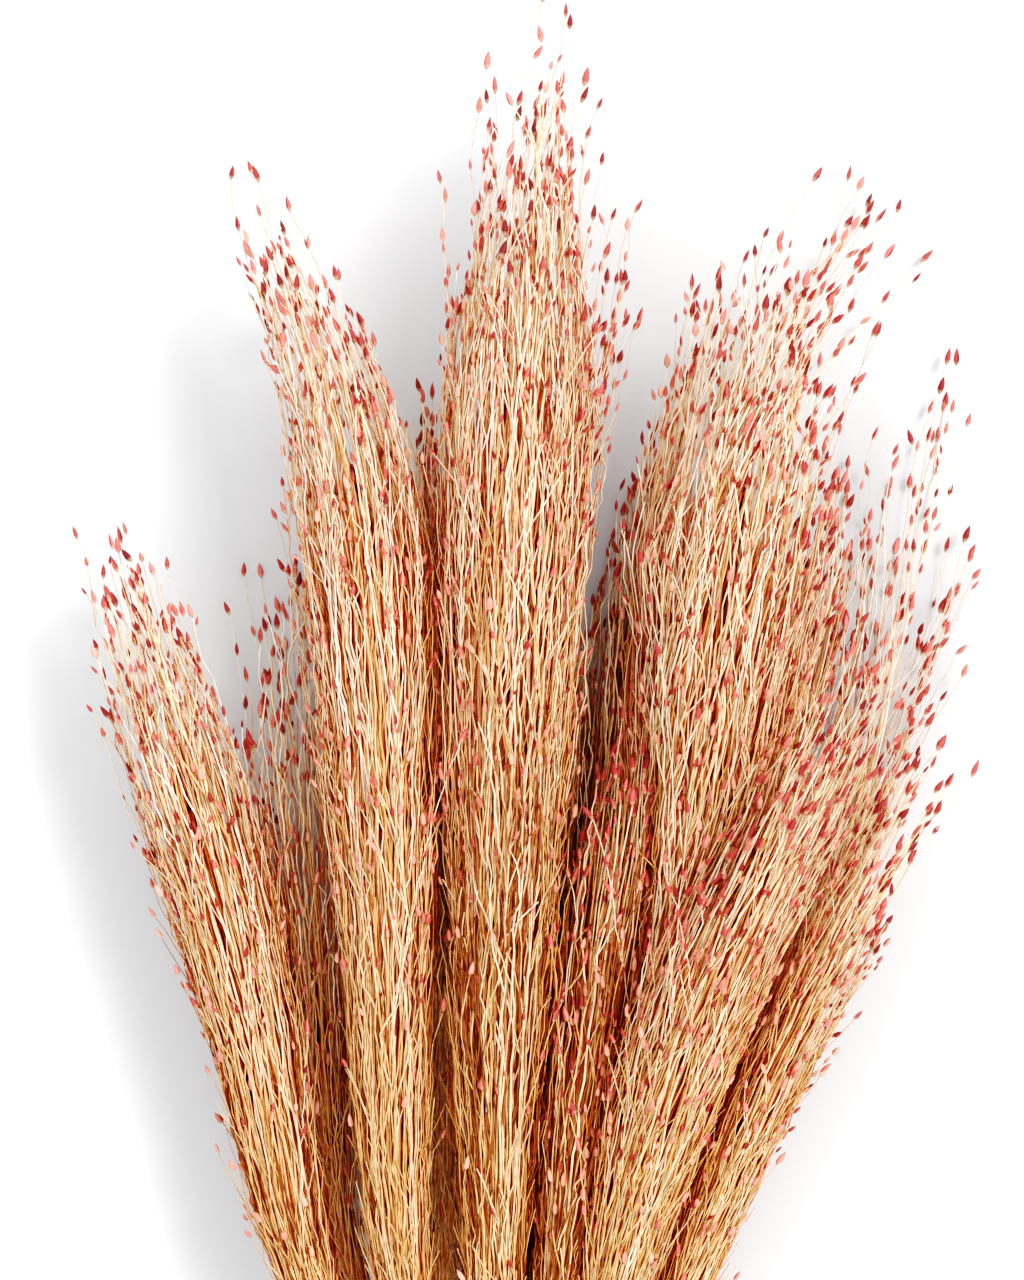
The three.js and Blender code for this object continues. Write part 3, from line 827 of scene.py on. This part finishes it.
def fork_paths(paths, radial, share, rng):
    """Short side branches for a share of the branches. Each leaves a random point of the upper
    half at 9 to 24 degrees, turned a little outwards. Returns their paths, outward directions,
    and the branch and step that each grows from."""
    steps = paths.shape[1]
    rows = np.flatnonzero(rng.random(len(paths)) < share)
    step = rng.integers(steps // 2, steps - 2, len(rows))
    root = paths[rows, step]
    along = unit(paths[rows, step + 1] - paths[rows, step - 1])
    aside = np.cross(along, radial[rows, step]) * rng.choice([-1, 1], (len(rows), 1))
    heading = along + aside * rng.uniform(0.15, 0.45, (len(rows), 1)) + radial[rows, step] * 0.12
    s = np.linspace(0, 1, FORK_STEPS)[None, :, None]
    length = rng.uniform(*FORK_LENGTHS, (len(rows), 1, 1))
    forks = root[:, None] + heading[:, None] * length * s
    forks += rng.normal(0, 0.3, forks.shape) * s
    keep_above_table(forks, TABLE_GAP)
    return forks, np.repeat(radial[rows, step][:, None], FORK_STEPS, axis=1), rows, step


# %% [markdown]
# ## The spikelets
#
# A spikelet is a pointed oval, a little flattened. The ripe ones at the crown are 4.7 mm long and
# 1.8 mm wide. Inside the brush most are smaller and darker, and a few large ones are bleached to
# salmon. All are copies of two small shapes, a finer one for the crown, turned and sized.

# %% Spikelet shape and its copies
HUSK_LENGTH, HUSK_WIDTH = 4.7, 1.8
HUSK_TABLE_GAP = 0.1
CROWN_SIZES = (0.72, 1.08)
PALE_LENGTHS, RIPE_LENGTHS = (2.6, 4.4), (2.0, 3.6)
CROWN_FROM = 0.84
STEPS_FROM_END = [0, 3, 6, 10]
CROWN_HUSK = (6, [(0.14, 0.66), (0.40, 1.0), (0.70, 0.70)])
BRUSH_HUSK = (4, [(0.24, 0.95), (0.62, 0.85)])


def husk_shape(sides, profile):
    """Unit spikelet from (share of the length, share of the half width) rings, flattened to 0.8,
    with a point at each end. Returns points, quads, triangles, side and along."""
    turn = ring_angles(sides)
    ring = np.array(profile)
    x = ring[:, 1:] * np.cos(turn) * 0.5
    y = ring[:, 1:] * np.sin(turn) * 0.4
    points = np.stack([x, y, ring[:, :1] + 0 * turn], axis=-1).reshape(-1, 3)
    points = np.concatenate([points, [[0, 0, 0], [0, 0, 1]]])
    quads, _ = tube_faces(1, len(ring), sides)
    k = np.arange(sides)
    after = (k + 1) % sides
    last = (len(ring) - 1) * sides
    heel, tip = len(points) - 2, len(points) - 1
    heel_cap = np.stack([after, k, 0 * k + heel], axis=-1)
    tip_cap = np.stack([last + k, last + after, 0 * k + tip], axis=-1)
    side = np.concatenate([np.tile(np.sin(turn), len(ring)), [0, 0]])
    return points, quads, np.concatenate([heel_cap, tip_cap]), side, points[:, 2]


def place_husks(shape, at, heading, length, width, tone, rng):
    """Copies of a unit spikelet with z along the heading and a random turn about it. Returns
    points, quads, triangles and the attributes tone, side and along."""
    points, quads, caps, side, along = husk_shape(*shape)
    heading = unit(heading)
    across = unit(np.cross(rng.normal(0, 1, heading.shape), heading))
    front = np.cross(heading, across)
    width, length = width[:, None], length[:, None]
    axes = np.stack([across * width, front * width, heading * length], axis=1)
    placed = at[:, None, :] + np.einsum("pk,nkc->npc", points, axes)
    keep_above_table(placed, HUSK_TABLE_GAP)
    first = (np.arange(len(at)) * len(points))[:, None, None]
    return [
        placed.reshape(-1, 3),
        (quads + first).reshape(-1, 4),
        (caps + first).reshape(-1, 3),
        np.repeat(tone, len(points)),
        np.tile(side, len(at)),
        np.tile(along, len(at)),
    ]


def headings_at(paths, rows, step, rng, spread):
    """Direction of the paths just before a step, of length 1 before a random tilt."""
    heading = unit(paths[rows, step] - paths[rows, step - 1])
    return heading + rng.normal(0, spread, heading.shape)


def join(parts):
    """One set of points, quads, triangles and attributes from several, with the indices of each
    moved past the points before it."""
    starts = np.cumsum([0] + [len(part[0]) for part in parts[:-1]])
    joined = [np.concatenate(column) for column in zip(*parts)]
    for faces in (1, 2):
        joined[faces] = np.concatenate([part[faces] + start for part, start in zip(parts, starts)])
    return joined


# %% [markdown]
# ## Stem and packed middle as one skin
#
# The stem and the middle of its head are one closed skin: a ring of points at each height, whose
# distance from the centre line is the bare culm's radius below, with a swollen node, and a share
# of the brush inside the head. Its first rings turn inwards, because a cut culm is hollow.

# %% The stem's skin
SKIN_SIDES = 32
CULM_RINGS, HEAD_RINGS = 24, 44
MIDDLE_END = 0.8
BORE_DEPTH = 4.0
SKIN_TABLE_GAP = 0.2


def stem_skin(stem, rng):
    """Rings of the skin: radius = max(culm, middle·room)·(1 + ridges), where middle closes at
    0.8 of a full head as (1-(u/end)^5)^0.8 and the ridges are three waves round the stem. The
    culm swells at its node as 0.5·e^-(distance/1.8)² and narrows a little above it. Returns
    points, quads, triangles, the points squeezed to a twentieth along the stem, and how deep in
    the head each lies."""
    end = MIDDLE_END * np.minimum(stem["full"], 1) ** 0.4
    foot_y = stem["foot_y"]
    knuckle = KNUCKLE_Y + KNUCKLE_STEP * ((stem["index"] * 7) % 12)
    mouth = [foot_y + BORE_DEPTH, foot_y + 0.1, foot_y]
    at_knuckle = knuckle + np.array([-3, -1.5, 0, 1.5, 3, 4.5])
    bare = np.sort(np.concatenate([np.linspace(foot_y + 0.2, BASE_Y, CULM_RINGS), at_knuckle]))
    head = np.linspace(BASE_Y, height_at(stem, end), HEAD_RINGS)[1:]
    y = np.concatenate([mouth, bare, head])[:, None]
    lip = np.ones(len(y))
    lip[:3] = 0.5, 0.55, 0.93
    turn = ring_angles(SKIN_SIDES)[None, :]
    u = np.clip(along_head(stem, y), 0, 1)
    tall = y + 0 * turn
    closing = np.maximum(1 - (u / end) ** 5, 0) ** 0.8
    middle = (MIDDLE_SHARE - 0.02) * closing
    reach = room(stem, tall, -turn + 0 * y, brush_radius(stem, tall)) * middle
    ridges = 0
    for waves in (5, 9, 14):
        height, start, bend = rng.uniform(0.5, 1), rng.uniform(0, 6.3), rng.uniform(0, 6.3)
        ridges = ridges + height * np.sin(waves * turn + start + 2 * np.sin(5 * u + bend))
    swell = 0.5 * np.exp(-(((y - knuckle) / 1.8) ** 2))
    swell = swell - 0.12 * np.exp(-(((y - knuckle - 3.4) / 1.1) ** 2))
    in_head = smooth_step(0.0, 0.16, u)
    bare = culm_radius(y) * (1 - u) + 0.05 + swell
    radius = np.maximum(bare, reach * smooth_step(0, 0.1, u))
    radius = radius * (1 + ridges * (0.012 + 0.04 * in_head)) * lip[:, None]
    centre = centre_line(stem, y[:, 0])[:, None, :]
    around = np.stack([radius * np.cos(turn), 0 * radius, -radius * np.sin(turn)], axis=-1)
    points = centre + around
    keep_above_table(points, SKIN_TABLE_GAP)
    stretched = (points - centre) * MM + np.array([0, 1, 0]) * y[..., None] * MM / 20
    quads, caps = tube_faces(1, len(y), SKIN_SIDES)
    depth = (in_head + 0 * turn).ravel()
    return points.reshape(-1, 3), quads, caps, stretched.reshape(-1, 3), depth


# %% [markdown]
# ## Threads that carry their colour
#
# A path becomes a thin tube that narrows towards its tip. Its tone, shade and depth are written
# on its points as attributes, so one material can colour ten thousand threads differently.

# %% From paths to threads
def thread_part(paths, lift, radii, tone, shade, depth, rng):
    """Tubes that thin from the first radius to the second, with the attributes tone and shade, one
    value for every path, and depth, one for every step."""
    count, steps = paths.shape[:2]
    radii = np.linspace(*radii, steps) * rng.uniform(0.8, 1.2, (count, 1))
    points, quads, caps = tubes(paths, radii, BRANCH_SIDES, lift)
    tone, shade = (np.repeat(values, steps * BRANCH_SIDES) for values in (tone, shade))
    return [points.reshape(-1, 3), quads, caps, tone, shade, np.repeat(depth, BRANCH_SIDES)]


# %% [markdown]
# ## Where the spikelets sit
#
# The largest and darkest spikelets stand at the crown, on the ends of branches and wisps. On the
# brush below, smaller ones sit on the short forks and close beside the branches. Fewer are left
# low down, where the branches rub against each other, and those are mostly bleached.

# %% Large and small spikelets
def crown_husks(stem, at, heading, size, rng):
    """The large spikelets of the crown, each a full spikelet times its size."""
    # Heads painted as shaded get darker crown spikelets, as painted shade.
    tone = np.clip(rng.normal(0.3 - 0.15 * stem["shade"][1], 0.18, len(at)), 0, 1)
    length = HUSK_LENGTH * size
    width = HUSK_WIDTH * size * rng.uniform(0.8, 1.1, len(at))
    return place_husks(CROWN_HUSK, at, heading, length, width, tone, rng)


def brush_husks(stem, at, heading, rng):
    """The spikelets on the surface of the brush: pale ones, which are 0.72 of all low down and
    0.22 high up, and ripe ones that are smaller."""
    high = smooth_step(0.35, 0.85, along_head(stem, at[:, 1]))
    # Heads painted as shaded get fewer pale spikelets, as painted shade.
    pale = rng.random(len(at)) < (0.72 - 0.5 * high) * (1 - 0.7 * stem["shade"][1])
    length, ripe_length = (rng.uniform(*ends, len(at)) for ends in (PALE_LENGTHS, RIPE_LENGTHS))
    length = np.where(pale, length, ripe_length)
    width = length * np.where(pale, 0.46, 0.38)
    tone = np.where(pale, rng.uniform(0.7, 1.0, len(at)), rng.beta(1.6, 2.0, len(at)) * 0.85)
    return place_husks(BRUSH_HUSK, at, heading, length, width, tone, rng)


# %% Spikelets on wisps and branches
def wisp_husks(stem, wisps, rng):
    """Four spikelets on each wisp, the largest on its end."""
    rows = np.repeat(np.arange(len(wisps)), len(STEPS_FROM_END))
    step = WISP_STEPS - 1 - np.tile(STEPS_FROM_END, len(wisps))
    on_end = step == WISP_STEPS - 1
    step -= rng.integers(0, 2, len(step)) * ~on_end
    size = rng.uniform(*CROWN_SIZES, len(step)) * np.where(on_end, 1.0, 0.86)
    heading = headings_at(wisps, rows, step, rng, 0.14)
    return crown_husks(stem, wisps[rows, step], heading, size, rng)


def branch_husks(stem, paths, radial, near_crown, forks, rng):
    """Spikelets of a group of branches: large ones where a branch ends near the crown, and small
    ones on other ends, on the forks and beside the branches, fewer of them low down."""
    steps = paths.shape[1]
    rows = np.arange(len(paths))
    end_heading = headings_at(paths, rows, steps - 1, rng, 0.16)
    at_crown = (near_crown > CROWN_FROM) & (rng.random(len(paths)) < 0.5 * stem["seeds"])
    often = stem["seeds"] * (0.08 + 0.6 * smooth_step(0.35, 0.9, near_crown))
    on_end = ~at_crown & (rng.random(len(paths)) < often)
    beside = np.repeat(rows, rng.poisson(stem["seeds"], len(rows)))
    step = rng.integers(steps // 3, steps - 1, len(beside))
    seen = smooth_step(0.28, 0.75, along_head(stem, paths[beside, step, 1])) + 0.02
    keep = rng.random(len(beside)) < seen
    beside, step = beside[keep], step[keep]
    fork_share = 0.03 + 0.97 * smooth_step(0.3, 0.65, along_head(stem, forks[:, -1, 1]))
    on_fork = np.flatnonzero(rng.random(len(forks)) < fork_share)
    small_at = [paths[on_end, -1], forks[on_fork, -1], paths[beside, step] + radial[beside, step] * 0.3]
    small_heading = [
        end_heading[on_end],
        headings_at(forks, on_fork, FORK_STEPS - 1, rng, 0.1),
        headings_at(paths, beside, step, rng, 0.2) + radial[beside, step] * 0.1,
    ]
    size = rng.uniform(*CROWN_SIZES, at_crown.sum())
    large = crown_husks(stem, paths[at_crown, -1], end_heading[at_crown], size, rng)
    return [large, brush_husks(stem, np.concatenate(small_at), np.concatenate(small_heading), rng)]


# %% [markdown]
# ## Putting the twelve stems together
#
# Each stem is three meshes: the stem with its packed middle, the branches, and the spikelets.
# They stand for the solid of the same stem. Each stem draws its random numbers from a generator
# of its own, so a change to one head leaves the others alone.

# %% The threads and spikelets of one head
def loose_threads(stem, rng):
    """The wisps and strays of one head, as threads and as spikelets."""
    threads, husks = [], []
    for paths, radial in (wisp_paths(stem, rng), stray_paths(stem, rng)):
        tone = rng.uniform(0.2, 0.75, len(paths))
        in_light = np.ones(paths.shape[:2])
        threads.append(thread_part(paths, radial, WISP_RADII, tone, 0 * tone, in_light, rng))
        husks.append(wisp_husks(stem, paths, rng))
    return threads, husks


def brush_threads(stem, group, count, rng):
    """One group of branches of one head with their forks, as threads and as spikelets."""
    paths, radial, depth, shade, near_crown = branch_paths(stem, group, count, rng)
    tone = branch_tone(stem, paths, near_crown, rng)
    branches = thread_part(paths, radial, BRANCH_RADII, tone, shade, depth, rng)
    forks, fork_radial, rows, step = fork_paths(paths, radial, group["forks"], rng)
    fork_depth = np.repeat(depth[rows, step][:, None], FORK_STEPS, axis=1)
    look = tone[rows], shade[rows], fork_depth
    side_branches = thread_part(forks, fork_radial, FORK_RADII, *look, rng)
    return [branches, side_branches], branch_husks(stem, paths, radial, near_crown, forks, rng)


# %% The twelve stems
FIRST_SEED = 500

for stem, count in zip(STEMS, branch_counts):
    node = f"panicle_{stem['index'] + 1:02d}"
    rng = np.random.default_rng(FIRST_SEED + stem["index"])
    skin = stem_skin(stem, rng)
    threads, husks = loose_threads(stem, rng)
    for group in (OUTER, INNER):
        more_threads, more_husks = brush_threads(stem, group, round(count * group["share"]), rng)
        threads += more_threads
        husks += more_husks
    parts = {
        "stem": (culm, skin, ("stretched", "in_head")),
        "branches": (straw, join(threads), ("tone", "shade", "depth")),
        "spikelets": (husk, join(husks), ("tone", "side", "along")),
    }
    for part, (material, (points, quads, caps, *values), names) in parts.items():
        written = dict(zip(names, values))
        make_piece(f"{node}_{part}", node, "straw", material, points, quads, caps, **written)
    print(node, "branches:", count, "points of the spikelets:", len(points))

# %% [markdown]
# ## The twine
#
# Jute twine of 1.9 mm is wound four times round the stems and knotted on top. The rope is a tube
# whose section has three lobes, one for each ply, and the section turns as it runs along, which
# is all that the twist of a rope is.

# %% Twine round the stems
BUNDLE_RADIUS = OUTER_RING + STEM_RADIUS + 0.3
TWINE_RADIUS = 0.95
TWINE_TURNS = 4
TWINE_PITCH = 1.75
TWINE_PLIES = 3
PLY_LENGTH = 5.2
TWINE_SIDES = 18
WINDING_STEPS, KNOT_STEPS, TAIL_STEPS = 520, 220, 60
UPWARDS = np.array([0.0, 0.0, 1.0])


def rope(path, lift):
    """Rope along one path: the radius at angle a and distance d along the path is
    0.74 + 0.26·|cos(plies/2·(a - 2πd/PLY_LENGTH))| of the twine's."""
    steps = np.linalg.norm(np.diff(path, axis=0), axis=1)
    run = np.concatenate([[0], np.cumsum(steps)])
    points, quads, caps = tubes(path[None], np.ones((1, len(path))), TWINE_SIDES, lift[None])
    ring = points[0] - path[:, None, :]
    turn = ring_angles(TWINE_SIDES)
    twist = 2 * np.pi * run[:, None] / PLY_LENGTH
    lobes = np.abs(np.cos(TWINE_PLIES / 2 * (turn[None, :] - twist)))
    radius = TWINE_RADIUS * (0.74 + 0.26 * lobes)
    return (path[:, None, :] + ring * radius[..., None]).reshape(-1, 3), quads, caps


def winding():
    """Helix round the tied bundle: (ring·cos a, pitch·a/2π, ring·sin a) and its outward side."""
    t = np.linspace(0, 1, WINDING_STEPS)
    turn = 2 * np.pi * TWINE_TURNS * t + np.pi / 2
    ring = BUNDLE_RADIUS + TWINE_RADIUS
    y = TIE_Y + TWINE_PITCH * TWINE_TURNS * (t - 0.5)
    outward = np.stack([np.cos(turn), 0 * turn, np.sin(turn)], axis=-1)
    return outward * ring + np.stack([TIE_X + 0 * t, y, TIE_Z + 0 * t], axis=-1), outward


def knot():
    """Trefoil: (sin t + 2 sin 2t, cos t - 2 cos 2t, -sin 3t), flattened on top of the winding."""
    t = np.linspace(0, 2 * np.pi, KNOT_STEPS)
    across = np.sin(t) + 2 * np.sin(2 * t)
    curve = np.stack([across, np.cos(t) - 2 * np.cos(2 * t), -np.sin(3 * t)], axis=-1)
    top = BUNDLE_RADIUS + TWINE_RADIUS * 2.6
    return curve * [1.15, 0.95, 0.75] + np.array([TIE_X, TIE_Y, TIE_Z + top]), UPWARDS


def tail(bend, reach):
    """A cut end that leaves the knot and sinks onto the stems: a quadratic curve."""
    t = np.linspace(0, 1, TAIL_STEPS)[:, None]
    top = TIE_Z + BUNDLE_RADIUS
    start = np.array([TIE_X + 0.3 * bend, TIE_Y + 0.5, top + 2.4])
    middle = np.array([TIE_X + 0.7 * bend, TIE_Y + 0.5 * reach, top + 3.4])
    end = np.array([TIE_X + bend, TIE_Y + reach, top + 0.9])
    return (1 - t) ** 2 * start + 2 * t * (1 - t) * middle + t**2 * end, UPWARDS


strands = [winding(), knot(), tail(-6.0, 7.5), tail(5.2, 9.0)]
make_piece("twine_tie_rope", "twine_tie", "jute", jute, *join([rope(*strand) for strand in strands]))
cord = sum(np.linalg.norm(np.diff(path, axis=0), axis=1).sum() for path, _ in strands)
print("twine, mm:", round(cord))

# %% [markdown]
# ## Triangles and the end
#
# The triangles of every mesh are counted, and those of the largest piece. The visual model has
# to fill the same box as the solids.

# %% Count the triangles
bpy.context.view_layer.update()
faces = [len(mesh.loops) - 2 * len(mesh.polygons) for mesh in MESHES]
print("triangles:", sum(faces), "largest piece:", max(faces))
